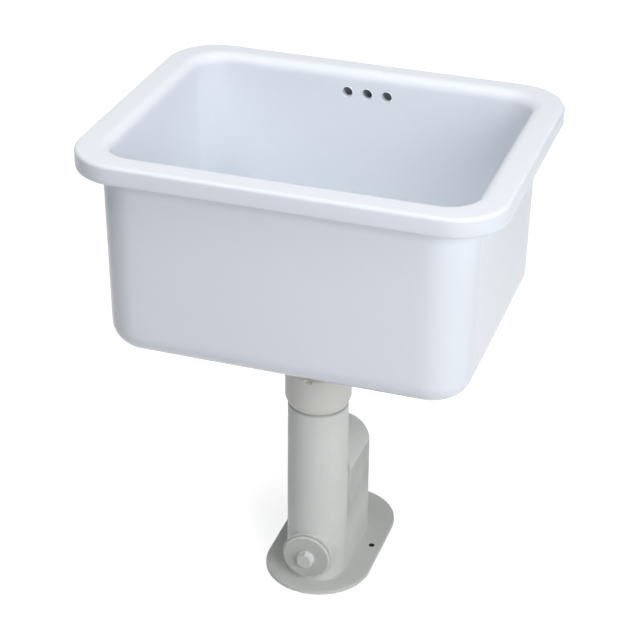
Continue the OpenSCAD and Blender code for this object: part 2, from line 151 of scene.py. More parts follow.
def softbox(name, azimuth, elevation, distance, height, size, power, colour):
    """A square of light turned to a point above the origin; azimuth 0 is the front, 90 the right."""
    azimuth, elevation = math.radians(azimuth), math.radians(elevation)
    aim = Vector((0, 0, height))
    ahead = Vector((math.sin(azimuth), -math.cos(azimuth), 0)) * math.cos(elevation)
    place = aim + (ahead + Vector((0, 0, math.sin(elevation)))) * distance
    lamp = bpy.data.lights.new(name, "AREA")
    lamp.shape = "RECTANGLE"
    lamp.size, lamp.size_y = size
    lamp.energy = power
    lamp.color = colour
    box = bpy.data.objects.new(name, lamp)
    box.location = place
    box.rotation_euler = (aim - place).to_track_quat("-Z", "Y").to_euler()
    bpy.context.scene.collection.objects.link(box)


def lay_floor():
    """A pale sheet that glows enough to look white and still takes the sink's shadow."""
    bm = bmesh.new()
    bmesh.ops.create_grid(bm, x_segments=8, y_segments=8, size=6)
    bmesh.ops.translate(bm, vec=(0, 0, SHEET_Z), verts=bm.verts)
    mesh = bpy.data.meshes.new("floor")
    bm.to_mesh(mesh)
    bm.free()
    floor = bpy.data.objects.new("floor", mesh)
    bpy.context.scene.collection.objects.link(floor)
    paint = bpy.data.materials.new("floor_sheet")
    paint.use_nodes = True
    tree = paint.node_tree
    shader = tree.nodes["Principled BSDF"]
    put(tree, SHEET_COLOUR, shader.inputs["Base Color"])
    put(tree, 0.9, shader.inputs["Roughness"])
    glow = tree.nodes.new("ShaderNodeEmission")
    put(tree, math_node(tree, "MULTIPLY", is_seen(tree), SHEET_GLOW), glow.inputs["Strength"])
    both = tree.nodes.new("ShaderNodeAddShader")
    tree.links.new(shader.outputs[0], both.inputs[0])
    tree.links.new(glow.outputs[0], both.inputs[1])
    tree.links.new(both.outputs[0], tree.nodes["Material Output"].inputs["Surface"])
    mesh.materials.append(paint)


# ---- Shared surface effects ----

def effect_group(name, inputs, outputs):
    """An empty node group with named sockets, and its two end nodes."""
    tree = bpy.data.node_groups.new(name, "ShaderNodeTree")
    for label, kind, value in inputs:
        socket = tree.interface.new_socket(label, in_out="INPUT", socket_type=kind)
        socket.default_value = value
    for label, kind in outputs:
        tree.interface.new_socket(label, in_out="OUTPUT", socket_type=kind)
    start = tree.nodes.new("NodeGroupInput")
    end = tree.nodes.new("NodeGroupOutput")
    return tree, start, end


def make_mottle():
    """Slow clouds of one colour in another, and a finer speckle over them."""
    tree, start, end = effect_group(
        "mottle",
        [("Vector", "NodeSocketVector", (0, 0, 0)), ("Base", "NodeSocketColor", (1, 1, 1, 1)),
         ("Tint", "NodeSocketColor", (0.5, 0.5, 0.5, 1)), ("Scale", "NodeSocketFloat", 10.0),
         ("Amount", "NodeSocketFloat", 0.5), ("Speckle", "NodeSocketFloat", 0.1)],
        [("Color", "NodeSocketColor"), ("Cloud", "NodeSocketFloat")],
    )
    place = start.outputs["Vector"]
    cloud = noise_node(tree, place, start.outputs["Scale"], 4)
    cloud = map_node(tree, cloud, 0.32, 0.68)
    fine_scale = math_node(tree, "MULTIPLY", start.outputs["Scale"], 26)
    fine = noise_node(tree, place, fine_scale, 2, 0.6)
    fine = map_node(tree, fine, 0.3, 0.7)
    share = math_node(tree, "MULTIPLY", cloud, start.outputs["Amount"])
    more = math_node(tree, "MULTIPLY", fine, start.outputs["Speckle"])
    share = math_node(tree, "ADD", share, more)
    colour = mix_node(tree, share, start.outputs["Base"], start.outputs["Tint"])
    tree.links.new(colour, end.inputs["Color"])
    tree.links.new(cloud, end.inputs["Cloud"])
    return tree


def make_skin():
    """The height of a coat that has flowed: broad waves, orange peel and a little grain."""
    tree, start, end = effect_group(
        "coat_skin",
        [("Vector", "NodeSocketVector", (0, 0, 0)), ("Wave", "NodeSocketFloat", 0.5),
         ("Wave Scale", "NodeSocketFloat", 20.0), ("Peel", "NodeSocketFloat", 0.2),
         ("Peel Scale", "NodeSocketFloat", 300.0)],
        [("Height", "NodeSocketFloat")],
    )
    place = start.outputs["Vector"]
    wave = noise_node(tree, place, start.outputs["Wave Scale"], 1)
    peel = noise_node(tree, place, start.outputs["Peel Scale"], 2)
    wave = math_node(tree, "MULTIPLY", wave, start.outputs["Wave"])
    peel = math_node(tree, "MULTIPLY", peel, start.outputs["Peel"])
    tree.links.new(math_node(tree, "ADD", wave, peel), end.inputs["Height"])
    return tree


def make_wear():
    """Edges that handling has rubbed, and hollows, as two masks."""
    tree, start, end = effect_group(
        "edge_wear",
        [("Vector", "NodeSocketVector", (0, 0, 0)), ("Scale", "NodeSocketFloat", 60.0)],
        [("Edge", "NodeSocketFloat"), ("Hollow", "NodeSocketFloat")],
    )
    form = tree.nodes.new("ShaderNodeNewGeometry").outputs["Pointiness"]
    patch = noise_node(tree, start.outputs["Vector"], start.outputs["Scale"], 3)
    patch = map_node(tree, patch, 0.35, 0.65, 0.15, 1.0)
    edge = map_node(tree, form, 0.51, 0.60)
    hollow = map_node(tree, form, 0.49, 0.42)
    tree.links.new(math_node(tree, "MULTIPLY", edge, patch), end.inputs["Edge"])
    tree.links.new(math_node(tree, "MULTIPLY", hollow, patch), end.inputs["Hollow"])
    return tree


MOTTLE = make_mottle()
SKIN = make_skin()
WEAR = make_wear()


# ---- Materials ----

class Finish:
    """A material with its shader, and the object's own coordinates to place patterns by."""

    def __init__(self, name):
        self.material = bpy.data.materials.new(name)
        self.material.use_nodes = True
        self.tree = self.material.node_tree
        self.shader = self.tree.nodes["Principled BSDF"]
        self.place = self.tree.nodes.new("ShaderNodeTexCoord").outputs["Object"]

    def effect(self, group, **values):
        node = self.tree.nodes.new("ShaderNodeGroup")
        node.node_tree = group
        return put_all(self.tree, node, {"Vector": self.place, **values}).outputs

    def set(self, **values):
        put_all(self.tree, self.shader, values)

    def feed(self, label, socket):
        self.tree.links.new(socket, self.shader.inputs[label])

    def rough(self, cloud, low, high):
        """Roughness from low to high, by the clouds of the mottle."""
        self.feed("Roughness", map_node(self.tree, cloud, 0.0, 1.0, low, high))

    def shade(self, colour, mask, share, other):
        """A colour that turns into the other by a share of a mask."""
        return mix_node(self.tree, math_node(self.tree, "MULTIPLY", mask, share), colour, other)

    def painted(self, colour, mask, other):
        """A colour that turns into the other where the piece's own attribute says so."""
        node = self.tree.nodes.new("ShaderNodeAttribute")
        node.attribute_name = mask
        return mix_node(self.tree, node.outputs["Fac"], colour, other)

    def bump(self, height, depth, strength=1.0):
        node = self.tree.nodes.new("ShaderNodeBump")
        put_all(self.tree, node, {"Strength": strength, "Distance": depth, "Height": height})
        self.feed("Normal", node.outputs["Normal"])


def china_finish():
    """White vitreous china under a clear glaze, a little blue where the glaze lies thick."""
    finish = Finish("china_glaze")
    mottle = finish.effect(MOTTLE, Base=(0.88, 0.912, 0.965, 1), Tint=(0.83, 0.865, 0.925, 1),
                           Scale=5.0, Amount=0.30, Speckle=0.10)
    wear = finish.effect(WEAR, Scale=30.0)
    finish.feed("Base Color", finish.shade(mottle["Color"], wear["Hollow"], 0.35, (0.66, 0.71, 0.79, 1)))
    finish.rough(mottle["Cloud"], 0.16, 0.22)
    finish.set(IOR=1.5, Specular_IOR_Level=0.12)
    skin = finish.effect(SKIN, Wave=0.7, Wave_Scale=9.0, Peel=0.05, Peel_Scale=170.0)
    finish.bump(skin["Height"], 0.0012, 0.35)
    return finish.material


def cast_paint(name, base, tint, peel):
    """Pale satin paint over a casting, darker in its hollows, rubbed on its edges.

    The piece's own attributes darken it with painted shade and lighten it with rubbed paint and a painted
    highlight."""
    finish = Finish(name)
    mottle = finish.effect(MOTTLE, Base=base, Tint=tint, Scale=14.0, Amount=0.60, Speckle=0.35)
    wear = finish.effect(WEAR, Scale=90.0)
    colour = finish.shade(mottle["Color"], wear["Hollow"], 0.55, (0.24, 0.25, 0.23, 1))
    colour = finish.shade(colour, wear["Edge"], 0.30, (0.80, 0.80, 0.77, 1))
    # Painted shade: darkens the trap in its crevices, under the nut, on the tucked-in flank and in the
    # screw holes
    colour = finish.painted(colour, "painted_shade", (0.035, 0.036, 0.033, 1))
    # Rubbed paint and painted highlight: lightens the clean-out plug's hexagon and the edge of its face
    colour = finish.painted(colour, "rub_and_highlight", (0.93, 0.93, 0.90, 1))
    finish.feed("Base Color", colour)
    finish.rough(mottle["Cloud"], 0.36, 0.48)
    finish.set(IOR=1.5, Specular_IOR_Level=0.2)
    skin = finish.effect(SKIN, Wave=0.6, Wave_Scale=70.0, Peel=peel, Peel_Scale=420.0)
    finish.bump(skin["Height"], 0.0010, 0.5)
    return finish.material


def turned_metal(name, base, tint, roughness):
    """Bare metal off a lathe: fine rings about the drain's axis, dull patches, dark hollows."""
    finish = Finish(name)
    tree = finish.tree
    centre = tree.nodes.new("ShaderNodeMapping")
    put_all(tree, centre, {"Location": (0, -DRAIN_Y * MM, 0), "Vector": finish.place})
    rings = tree.nodes.new("ShaderNodeTexWave")
    rings.wave_type = "RINGS"
    rings.rings_direction = "Z"
    put_all(tree, rings, {"Scale": 420, "Distortion": 1.5, "Vector": centre.outputs["Vector"]})
    mottle = finish.effect(MOTTLE, Base=base, Tint=tint, Scale=24.0, Amount=0.5, Speckle=0.2)
    wear = finish.effect(WEAR, Scale=120.0)
    finish.feed("Base Color", finish.shade(mottle["Color"], wear["Hollow"], 0.6, (0.05, 0.045, 0.04, 1)))
    finish.set(Metallic=1.0)
    finish.rough(mottle["Cloud"], *roughness)
    finish.bump(rings.outputs["Fac"], 0.00012, 0.5)
    return finish.material


def rubber_finish():
    """Black rubber with a bloom of grey."""
    finish = Finish("seal_rubber")
    mottle = finish.effect(MOTTLE, Base=(0.022, 0.022, 0.023, 1), Tint=(0.075, 0.075, 0.078, 1),
                           Scale=40.0, Amount=0.35, Speckle=0.25)
    finish.feed("Base Color", mottle["Color"])
    finish.rough(mottle["Cloud"], 0.62, 0.80)
    skin = finish.effect(SKIN, Wave=0.3, Wave_Scale=120.0, Peel=0.5, Peel_Scale=900.0)
    finish.bump(skin["Height"], 0.0004, 0.5)
    return finish.material


# Each finish with the name of its slot
CHINA = china_finish(), "china"
IRON_PAINT = cast_paint(
    "iron_paint", (0.78, 0.787, 0.752, 1), (0.71, 0.72, 0.675, 1), 0.35), "iron_paint"
NUT_PAINT = cast_paint(
    "nut_paint", (0.785, 0.775, 0.725, 1), (0.70, 0.69, 0.635, 1), 0.20), "nut_paint"
# The clean-out plug has the trap's own paint, as its slot says; this darker copy of it is painted shade
PLUG_PAINT_SHADED = cast_paint(
    "plug_paint_shaded", (0.66, 0.665, 0.62, 1), (0.52, 0.53, 0.48, 1), 0.45), "iron_paint"
STEEL = turned_metal(
    "brushed_steel", (0.60, 0.60, 0.61, 1), (0.48, 0.48, 0.50, 1), (0.22, 0.34)), "steel"
BRASS = turned_metal(
    "dull_brass", (0.62, 0.46, 0.20, 1), (0.42, 0.30, 0.13, 1), (0.30, 0.46)), "brass"
RUBBER = rubber_finish(), "rubber"


# ---- Basin ----

# Radii of the edges, each in an upright section
FOOT_TURN_R = 31.0
COVE_R = 12.0
RIM_EDGE_R = 5.0
BOWL_EDGE_R = 14.0
FLOOR_TURN_R = 28.0

# Radii added to the cores
FOOT_R = 18.5
WALL_R = FOOT_R + FOOT_TURN_R
WALL_TOP_R = 52.0
COVE_OUT_R = WALL_TOP_R + COVE_R
RIM_R = 65.0
BOWL_R = 36.0
BOWL_FLOOR_R = 3.0
BOWL_LOW_R = BOWL_FLOOR_R + FLOOR_TURN_R

# Cores: half width, front and back of a straight-sided plan, to which a radius is added
OUTER_CORE = (172.5, -127.5, 130.5)
RIM_CORE = (RIM_HIGH.x - RIM_R, RIM_LOW.y + RIM_R, RIM_HIGH.y - RIM_R)
BOWL_CORE = (179.5, -122.5, 127.0)

# Heights
BASE_Z = RIM_Z - 255
FOOT_TOP_Z = BASE_Z + FOOT_TURN_R
LIP_Z = RIM_Z - 25
FLOOR_Z = BASE_Z + 18
DRAIN_Z = FLOOR_Z - 5
SEAT_Z = DRAIN_Z - 7
BOWL_TOP_Z = RIM_Z - BOWL_EDGE_R
FLOOR_TURN_Z = FLOOR_Z + FLOOR_TURN_R

# Drain, in radii
HOLE_R = 33.0
RECESS_R = 45.6
DISH_R = 135.0
BOSS_R = 49.0
BOSS_H = BASE_Z - BOSS_Z

# Overflow: three holes in the back wall, and a duct that comes down behind it
OVERFLOW_Z = RIM_Z - 29
OVERFLOW_R = 6.5
OVERFLOW_PITCH = 25.6
CELL = OVERFLOW_PITCH / 6
BACK_WALL_Y = (155, 168)
DUCT_HALF_W = 44.0
DUCT_Y = 189.0
DUCT_TURN_R = 26.0
DUCT_TURN_Z = BOSS_Z + DUCT_TURN_R
DUCT_CAVITY = ((-37, 171, BOSS_Z + 5), (37, 182, OVERFLOW_Z + 10.5))
DUCT_RUN = ((-37, DRAIN_Y, BOSS_Z + 5), (37, 176, BASE_Z))

# Wall hangers: a pad on each side with a slot for the bracket's tongue
PAD_X = 158.0
PAD_HALF_W = 28.0
PAD_Y = RIM_HIGH.y - 0.5
PAD_Z = LIP_Z - 60
SLOT = ((PAD_X - 18, PAD_Y - 13, PAD_Z - 10), (PAD_X + 18, PAD_Y - 6, PAD_Z + 46))

# How far outside a raised edge each row lies where it rounds over and fills out
EDGE_STEPS = (-8.0, -4.9, -2.3, -0.6, 0.0, 0.4, 1.5, 3.0, 5.5)
EDGE_OVER_R = 8.0
EDGE_FILL_R = 5.0


def between(a, b, share):
    """The value that lies a share of the way from a to b."""
    return a + (b - a) * share


def raised(f):
    """The share of a raised form's height at f millimetres outside its edge."""
    if f <= -EDGE_OVER_R:
        drop = 0.0
    elif f <= 0:
        drop = EDGE_OVER_R - math.sqrt(EDGE_OVER_R ** 2 - (f + EDGE_OVER_R) ** 2)
    elif f < EDGE_FILL_R:
        drop = BOSS_H - EDGE_FILL_R + math.sqrt(EDGE_FILL_R ** 2 - (EDGE_FILL_R - f) ** 2)
    else:
        drop = BOSS_H
    return 1 - drop / BOSS_H


def outline_columns():
    """Half the plan, from the middle of the back to the middle of the front.

    Each column has its place on the core from -1 to 1, once for the outer wall and once for the
    bowl, and the direction in which the radius is added."""
    holes = [CELL * i for i in range(9)]
    duct = [DUCT_HALF_W + f for f in EDGE_STEPS[1:]]
    span = [58, 68, 79, 90, 101, 112, 119]
    pad = [PAD_X - PAD_HALF_W - f for f in reversed(EDGE_STEPS)]
    rest = [144, 151, 158, 165, OUTER_CORE[0]]
    outer = holes + duct + span + pad + rest
    spare = len(outer) - len(holes)
    inner = holes + [between(holes[-1], BOWL_CORE[0], (i + 1) / spare) for i in range(spare)]
    columns = [(xo / OUTER_CORE[0], xi / BOWL_CORE[0], 1, 0, 1) for xo, xi in zip(outer, inner)]
    corner, side, front = 16, 20, 14
    turns = [math.radians(90 * i / corner) for i in range(1, corner + 1)]
    columns += [(1, 1, 1, math.sin(turn), math.cos(turn)) for turn in turns]
    columns += [(1, 1, between(1, -1, i / side), 1, 0) for i in range(1, side + 1)]
    columns += [(1, 1, -1, math.cos(turn), -math.sin(turn)) for turn in turns]
    columns += [(1 - i / front, 1 - i / front, -1, 0, -1) for i in range(1, front + 1)]
    return columns


def underside_z(x, y):
    """Height of the underside, where the drain's boss and the duct stand down from it."""
    f = math.hypot(x, y - DRAIN_Y) - BOSS_R
    if y > DRAIN_Y:
        f = min(f, abs(x) - DUCT_HALF_W)
    return between(BASE_Z, BOSS_Z, raised(f))


def dish_z(x, y):
    """Height of the bowl's floor, which falls to the drain."""
    far = (math.hypot(x, y - DRAIN_Y) - RECESS_R) / (DISH_R - RECESS_R)
    far = min(max(far, 0), 1)
    return between(DRAIN_Z, FLOOR_Z, far * (1.6 - 0.6 * far * far) if far < 1 else 1)


def arc(centre_r, centre_z, radius, start, end, steps):
    """Rows (radius, height) along an arc; angles in degrees, 0 outwards and 90 up."""
    rows = []
    for i in range(steps + 1):
        turn = math.radians(between(start, end, i / steps))
        rows.append((centre_r + radius * math.cos(turn), centre_z + radius * math.sin(turn)))
    return rows


def wall_heights():
    """Heights of the rows up the outer wall, close together where the hanger pads' feet slope."""
    low = [FOOT_TOP_Z + 10.5 * i for i in range(1, 13)]
    foot = [PAD_Z + d for d in (-4, -1.5, 0, 1.5, 3.5, 5.5, 7, 8, 9.5, 12)]
    high = [PAD_Z + 12 + 7.0 * i for i in range(1, 6)]
    return low + foot + high


def pad_share(x, z):
    """How far a point of the back wall has come out to a hanger pad's face."""
    across = raised(abs(x - PAD_X) - PAD_HALF_W)
    up = min(max((z - PAD_Z + 1.5) / 9.5, 0), 1)
    return across * up


class Section:
    """The basin along one column of its plan: out from the drain, up, over the rim and back in.

    Every section has the same number of points, so that together they make a grid."""

    def __init__(self, column):
        self.column = column
        self.at_back = column[4] > 0.5
        straight_back = column[4] == 1 and column[0] < 1
        self.duct = raised(OUTER_CORE[0] * column[0] - DUCT_HALF_W) if straight_back else 0.0
        self.centre = Vector((0, DRAIN_Y))
        foot = self.on(OUTER_CORE, FOOT_R, 0)
        self.foot = foot.lerp(Vector((foot.x, DUCT_Y - DUCT_TURN_R)), self.duct)
        ray = self.foot - self.centre
        self.reach = ray.length
        self.ray = ray.normalized()
        self.points = []
        self.add_round_drain((
            (HOLE_R, SEAT_Z - 1.6), (HOLE_R, BOSS_Z + 2.0), (HOLE_R + 0.6, BOSS_Z + 0.6),
            (HOLE_R + 2, BOSS_Z), (HOLE_R + 4, BOSS_Z),
        ))
        self.add_underside()
        self.add_foot()
        self.add_wall()
        self.add_rim()
        self.add_bowl()
        self.add_floor()
        self.points.append(self.points[0].copy())

    def on(self, core, radius, inside):
        """The x and y where a radius is added to a core; inside is 0 outdoors and 1 in the bowl."""
        at_outer, at_bowl, along, dx, dy = self.column
        half_w, front, back = core
        x = half_w * between(at_outer, at_bowl, inside) + radius * dx
        y = (front + back) / 2 + along * (back - front) / 2 + radius * dy
        return Vector((x, y))

    def out_to_pad(self, x, y, z):
        """A point's y once a hanger pad has carried it out towards the wall."""
        return between(y, max(y, PAD_Y), pad_share(x, z) if self.at_back else 0)

    def add(self, p, z):
        self.points.append(Vector((p.x, p.y, z)))

    def add_round_drain(self, rows):
        for radius, z in rows:
            self.add(self.centre + self.ray * radius, z)

    def add_underside(self):
        """Out along the boss and the duct, whose edge each row follows, and on to the foot."""
        for i, f in enumerate(EDGE_STEPS):
            edge = BOSS_R + f
            if self.ray.y > 0 and self.ray.x > 0.001:
                edge = max(edge, (DUCT_HALF_W + f) / self.ray.x)
            elif self.ray.y > 0:
                edge = self.reach
            edge = min(edge, self.reach * (0.95 + 0.003 * i))
            p = self.centre + self.ray * edge
            self.add(p, underside_z(p.x, p.y))
        start = self.points[-1].xy
        for i in range(1, 5):
            p = start.lerp(self.foot, i / 5)
            self.add(p, underside_z(p.x, p.y))

    def add_foot(self):
        """Round the foot, where the duct has a turn of its own."""
        steps = 12
        straight = FOOT_TOP_Z - DUCT_TURN_Z
        quarter = DUCT_TURN_R * math.pi / 2
        for i in range(steps + 1):
            turn = math.radians(90 * i / steps)
            p = self.on(OUTER_CORE, FOOT_R + FOOT_TURN_R * math.sin(turn), 0)
            p = Vector((p.x, p.y, FOOT_TOP_Z - FOOT_TURN_R * math.cos(turn)))
            run = (quarter + straight) * i / steps
            bend = min(run / DUCT_TURN_R, math.pi / 2)
            d = Vector((p.x, DUCT_Y - DUCT_TURN_R + DUCT_TURN_R * math.sin(bend),
                        DUCT_TURN_Z - DUCT_TURN_R * math.cos(bend) + max(run - quarter, 0)))
            self.points.append(p.lerp(d, self.duct))

    def add_wall(self):
        """Up the outer wall, with the duct and the hanger pads, and through the cove under the lip."""
        height = LIP_Z - FOOT_TOP_Z
        rows = [(between(WALL_R, WALL_TOP_R, (z - FOOT_TOP_Z) / height), z) for z in wall_heights()]
        rows += arc(COVE_OUT_R, LIP_Z - COVE_R, COVE_R, 180, 90, 8)
        for radius, z in rows:
            p = self.on(OUTER_CORE, radius, 0)
            y = between(p.y, max(p.y, DUCT_Y), self.duct)
            self.points.append(Vector((p.x, self.out_to_pad(p.x, y, z), z)))

    def add_rim(self):
        """Out under the lip, up its edge and in over the rim."""
        edge_r = RIM_R - RIM_EDGE_R
        rows = arc(edge_r, LIP_Z + RIM_EDGE_R, RIM_EDGE_R, 270, 360, 6)
        cove_out = self.on(OUTER_CORE, COVE_OUT_R, 0)
        p = cove_out.lerp(self.on(RIM_CORE, rows[0][0], 0.1), 0.5)
        self.points.append(Vector((p.x, self.out_to_pad(p.x, p.y, LIP_Z), LIP_Z)))
        rows += [(RIM_R, LIP_Z + 8), (RIM_R, LIP_Z + 14)]
        rows += arc(edge_r, RIM_Z - RIM_EDGE_R, RIM_EDGE_R, 0, 90, 7)
        for i, (radius, z) in enumerate(rows):
            p = self.on(RIM_CORE, radius, 0.1 + 0.3 * i / len(rows))
            if z < LIP_Z + 4:
                p.y = self.out_to_pad(p.x, p.y, LIP_Z)
            self.add(p, z)
        rim_in = self.on(RIM_CORE, edge_r, 0.5)
        bowl_out = self.on(BOWL_CORE, BOWL_R + BOWL_EDGE_R, 0.9)
        for share in (0.25, 0.5, 0.75):
            self.add(rim_in.lerp(bowl_out, share), RIM_Z)

    def add_bowl(self):
        """Down the bowl's wall, with the rows that the overflow holes need, to its floor."""
        rows = arc(BOWL_R + BOWL_EDGE_R, BOWL_TOP_Z, BOWL_EDGE_R, 90, 180, 10)
        holes = [OVERFLOW_Z + CELL * i for i in (2, 1, 0, -1, -2)]
        down = [between(holes[-1], FLOOR_TURN_Z, i / 15) for i in range(1, 15)]
        for z in holes + down:
            share = (BOWL_TOP_Z - z) / (BOWL_TOP_Z - FLOOR_TURN_Z)
            rows.append((between(BOWL_R, BOWL_LOW_R, share), z))
        rows += arc(BOWL_FLOOR_R, FLOOR_TURN_Z, FLOOR_TURN_R, 0, -90, 10)
        for i, (radius, z) in enumerate(rows):
            self.add(self.on(BOWL_CORE, radius, min(0.9 + 0.02 * i, 1)), z)

    def add_floor(self):
        """Across the dished floor and down into the drain's recess."""
        start = self.points[-1].xy
        recess = self.centre + self.ray * (RECESS_R + 2.5)
        for i in range(1, 15):
            p = start.lerp(recess, i / 14)
            self.add(p, dish_z(p.x, p.y))
        self.add_round_drain((
            (RECESS_R + 0.8, DRAIN_Z - 0.3), (RECESS_R, DRAIN_Z - 1.4), (RECESS_R, SEAT_Z + 1),
            (RECESS_R - 0.4, SEAT_Z + 0.2), (RECESS_R - 1.5, SEAT_Z), (HOLE_R + 6, SEAT_Z),
            (HOLE_R + 1.5, SEAT_Z), (HOLE_R + 0.4, SEAT_Z - 0.4),
        ))


def pierce(bm, x, z, depths):
    """Opens a round hole with a soft edge in the bowl's back wall.

    Each row of depths gives its ring's radius and y; a y of 0 keeps the wall's own."""
    reach = 2 * CELL
    front, back = BACK_WALL_Y
    faces = []
    for face in bm.faces:
        c = face.calc_center_median()
        if abs(c.x - x) < reach and abs(c.z - z) < reach and front < c.y < back:
            faces.append(face)
    rim = [e for e in {e for f in faces for e in f.edges}
           if sum(f in faces for f in e.link_faces) == 1]
    bmesh.ops.delete(bm, geom=faces, context="FACES")
    for radius, y in depths:
        grown = bmesh.ops.extrude_edge_only(bm, edges=rim)["geom"]
        rim = [g for g in grown if isinstance(g, bmesh.types.BMEdge)]
        rim = [e for e in rim if len(e.link_faces) == 1]
        for v in {v for e in rim for v in e.verts}:
            around = Vector((v.co.x - x, v.co.z - z))
            turn = round(math.atan2(around.y, around.x) / (math.pi / 8)) * math.pi / 8
            v.co.x = x + radius * math.cos(turn)
            v.co.y = y or v.co.y
            v.co.z = z + radius * math.sin(turn)
    bmesh.ops.holes_fill(bm, edges=rim)


def block(low, high, soft=0.0):
    """A closed box between two corners, its edges rounded."""
    bm = bmesh.new()
    bmesh.ops.create_cube(bm, size=1)
    low, high = Vector(low), Vector(high)
    size = high - low
    bmesh.ops.scale(bm, vec=size, verts=bm.verts)
    bmesh.ops.translate(bm, vec=(low + high) / 2, verts=bm.verts)
    if soft:
        bmesh.ops.bevel(bm, geom=bm.edges[:], offset=soft, affect="EDGES", segments=4,
                        profile=0.5, material=-1)
    return bm


def as_object(bm, name):
    """A scene object from a bmesh in millimetres."""
    bmesh.ops.scale(bm, vec=(MM, MM, MM), verts=bm.verts)
    mesh = bpy.data.meshes.new(name)
    bm.to_mesh(mesh)
    bm.free()
    piece = bpy.data.objects.new(name, mesh)
    bpy.context.scene.collection.objects.link(piece)
    return piece


def measured(mesh):
    """A bmesh in millimetres from a mesh in metres."""
    bm = bmesh.new()
    bm.from_mesh(mesh)
    bmesh.ops.scale(bm, vec=(1 / MM, 1 / MM, 1 / MM), verts=bm.verts)
    return bm


def join(bm, other):
    """Adds the other bmesh to the first and frees it."""
    mesh = bpy.data.meshes.new("joined")
    other.to_mesh(mesh)
    other.free()
    bm.from_mesh(mesh)
    bpy.data.meshes.remove(mesh)


def placed(bm, matrix):
    """The same bmesh, moved by a matrix."""
    bmesh.ops.transform(bm, matrix=matrix, verts=bm.verts)
    return bm


def heights(node):
    """The heights of a node's foot and head in millimetres."""
    return [corner.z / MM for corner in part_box(node)]


def turn_of(i, count):
    """The turn to the i-th of so many places round the upright axis."""
    return Matrix.Rotation(math.radians(360 * i / count), 4, "Z")


def settle(piece):
    """Applies the piece's modifiers to its mesh."""
    view = bpy.context.evaluated_depsgraph_get()
    mesh = bpy.data.meshes.new_from_object(piece.evaluated_get(view))
    piece.modifiers.clear()
    old = piece.data
    piece.data = mesh
    bpy.data.meshes.remove(old)


def carve(piece, cutters):
    """Takes each closed cutter out of the piece."""
    for i, cutter in enumerate(cutters):
        tool = as_object(cutter, f"{piece.name}_cutter_{i}")
        cut = piece.modifiers.new("cut", "BOOLEAN")
        cut.operation = "DIFFERENCE"
        cut.solver = "EXACT"
        cut.object = tool
        settle(piece)
        bpy.data.objects.remove(tool)


def dress(piece, sharp_degrees, body, finish, node):
    """Smooths a finished piece, ties it to its body, gives it its finish's material and hides the node
    that it stands for.
    """
    for polygon in piece.data.polygons:
        polygon.use_smooth = True
    piece.data.set_sharp_from_angle(angle=math.radians(sharp_degrees))
    piece.data.name = piece.name
    material, slot = finish
    piece.data.materials.clear()
    piece.data.materials.append(material)
    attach(piece, body)
    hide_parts(node)


def make_basin():
    """The glazed body: one closed skin over its half plan, mirrored, then pierced and hollowed."""
    columns = outline_columns()
    skeleton = [Section(column).points for column in columns]
    rows = len(skeleton[0])
    bm = bmesh.new()
    bmesh.ops.create_grid(bm, x_segments=len(columns) - 1, y_segments=rows - 1, size=0.5)
    for v in bm.verts:
        column = round((v.co.x + 0.5) * (len(columns) - 1))
        row = round((v.co.y + 0.5) * (rows - 1))
        v.co = skeleton[column][row]
    bmesh.ops.mirror(bm, geom=bm.verts[:] + bm.edges[:] + bm.faces[:], axis="X", merge_dist=0.001)
    bmesh.ops.remove_doubles(bm, verts=bm.verts, dist=0.001)
    bmesh.ops.dissolve_degenerate(bm, edges=bm.edges, dist=0.001)
    bmesh.ops.recalc_face_normals(bm, faces=bm.faces)
    # The walls of a fired casting are never quite flat
    for v in bm.verts:
        wave = noise.noise(v.co / 110) + 0.5 * noise.noise(v.co / 45)
        v.co -= v.normal * 0.22 * (1 + max(min(wave, 1), -1))
    for i in (-1, 0, 1):
        pierce(bm, i * OVERFLOW_PITCH, OVERFLOW_Z, (
            (8.0, 0), (7.3, 162.45), (6.8, 162.9), (6.55, 163.6), (OVERFLOW_R, 165), (OVERFLOW_R, 173),
        ))
    bmesh.ops.recalc_face_normals(bm, faces=bm.faces)
    basin = as_object(bm, "basin_glazed")
    low, high = SLOT
    left_slot = ((-high[0], *low[1:]), (-low[0], *high[1:]))
    carve(basin, [block(*DUCT_CAVITY, 2), block(*DUCT_RUN), block(*SLOT, 1.5), block(*left_slot, 1.5)])
    dress(basin, 42, "stand", CHINA, "basin")


# ---- Turned pieces ----

PITCH = 2.309
WASTE_LEN = 61.5
WASTE_R = 30.0
NUT_BORE_R = 30.05
UNION_BORE_R = 34.05
SPIGOT_R = 19.95
SPIGOT_LEN = 14.3
PLUG_LOW, PLUG_HIGH = (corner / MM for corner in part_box("cleanout_plug"))
PLUG_Z = (PLUG_LOW.z + PLUG_HIGH.z) / 2
PLUG_AXIS = (Matrix.Translation((0, PLUG_HIGH.y - SPIGOT_LEN, PLUG_Z))
             @ Matrix.Rotation(math.radians(90), 4, "X"))
DRAIN_AXIS = Matrix.Translation((0, DRAIN_Y, 0))
DROP_BACK = 95.7
OUTLET_AXIS = Matrix.Translation((0, DRAIN_Y + DROP_BACK, 0))


def spun(outline, steps=96):
    """Turns an outline of radii and heights round the upright axis; it closes on itself or the axis."""
    bm = bmesh.new()
    corners = [bm.verts.new((radius, 0, z)) for radius, z in outline]
    edges = []
    for a, b in zip(corners, corners[1:] + corners[:1]):
        if a.co.x > 0 or b.co.x > 0:
            edges.append(bm.edges.new((a, b)))
    bmesh.ops.spin(bm, geom=corners + edges, cent=(0, 0, 0), axis=(0, 0, 1), angle=2 * math.pi,
                   steps=steps, use_merge=True)
    bmesh.ops.remove_doubles(bm, verts=bm.verts, dist=0.0005)
    bmesh.ops.recalc_face_normals(bm, faces=bm.faces)
    return bm


def rungs(radius, start, end):
    """Points up or down a stretch that a thread will be cut into."""
    count = math.ceil(abs(end - start) / (PITCH / 6))
    return [(radius, between(start, end, i / count)) for i in range(count + 1)]


